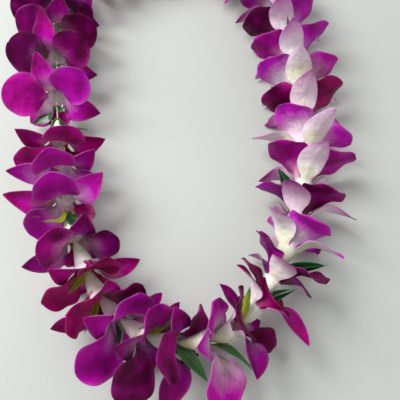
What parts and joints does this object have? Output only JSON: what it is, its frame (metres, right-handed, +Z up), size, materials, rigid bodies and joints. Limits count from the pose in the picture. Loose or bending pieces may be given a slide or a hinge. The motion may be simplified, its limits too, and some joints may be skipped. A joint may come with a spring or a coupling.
{
  "type": "fresh flower lei",
  "caption": "Closed garland of orchid blossoms and small leaves strung nose to tail on one tied thread; lies flat as a long oval and is worn round the neck.",
  "frame": {"origin": "centre of the footprint, on the table that the lei lies on", "axes": "+Z up from the table, +Y along the long way of the oval, +X across it; seen from above the blossoms face anticlockwise"},
  "size_m": [0.2861, 0.4506, 0.0664],
  "materials": {
    "blossom": "soft satin petals, white at the base and magenta towards the tips",
    "leaf": "glossy fresh leaf, paler underneath",
    "thread": "matt twisted cotton"
  },
  "bodies": {
    "root": {"lei_thread": "thread", "thread_knot": "thread", "blossom_01": "blossom", "blossom_02": "blossom", "blossom_03": "blossom", "blossom_04": "blossom", "blossom_05": "blossom", "blossom_06": "blossom", "blossom_07": "blossom", "blossom_08": "blossom", "blossom_09": "blossom", "blossom_10": "blossom", "blossom_11": "blossom", "blossom_12": "blossom", "blossom_13": "blossom", "blossom_14": "blossom", "blossom_15": "blossom", "blossom_16": "blossom", "blossom_17": "blossom", "blossom_18": "blossom", "blossom_19": "blossom", "blossom_20": "blossom", "blossom_21": "blossom", "blossom_22": "blossom", "blossom_23": "blossom", "blossom_24": "blossom", "blossom_25": "blossom", "blossom_26": "blossom", "blossom_27": "blossom", "blossom_28": "blossom", "blossom_29": "blossom", "blossom_30": "blossom", "blossom_31": "blossom", "blossom_32": "blossom", "blossom_33": "blossom", "blossom_34": "blossom", "leaf_01": "leaf", "leaf_02": "leaf", "leaf_03": "leaf", "leaf_04": "leaf", "leaf_05": "leaf", "leaf_06": "leaf", "leaf_07": "leaf", "leaf_08": "leaf", "leaf_09": "leaf", "leaf_10": "leaf", "leaf_11": "leaf", "leaf_12": "leaf", "leaf_13": "leaf", "leaf_14": "leaf", "leaf_15": "leaf", "leaf_16": "leaf", "leaf_17": "leaf", "leaf_18": "leaf", "leaf_19": "leaf", "leaf_20": "leaf", "leaf_21": "leaf", "leaf_22": "leaf", "leaf_23": "leaf", "leaf_24": "leaf"}
  },
  "joints": []
}
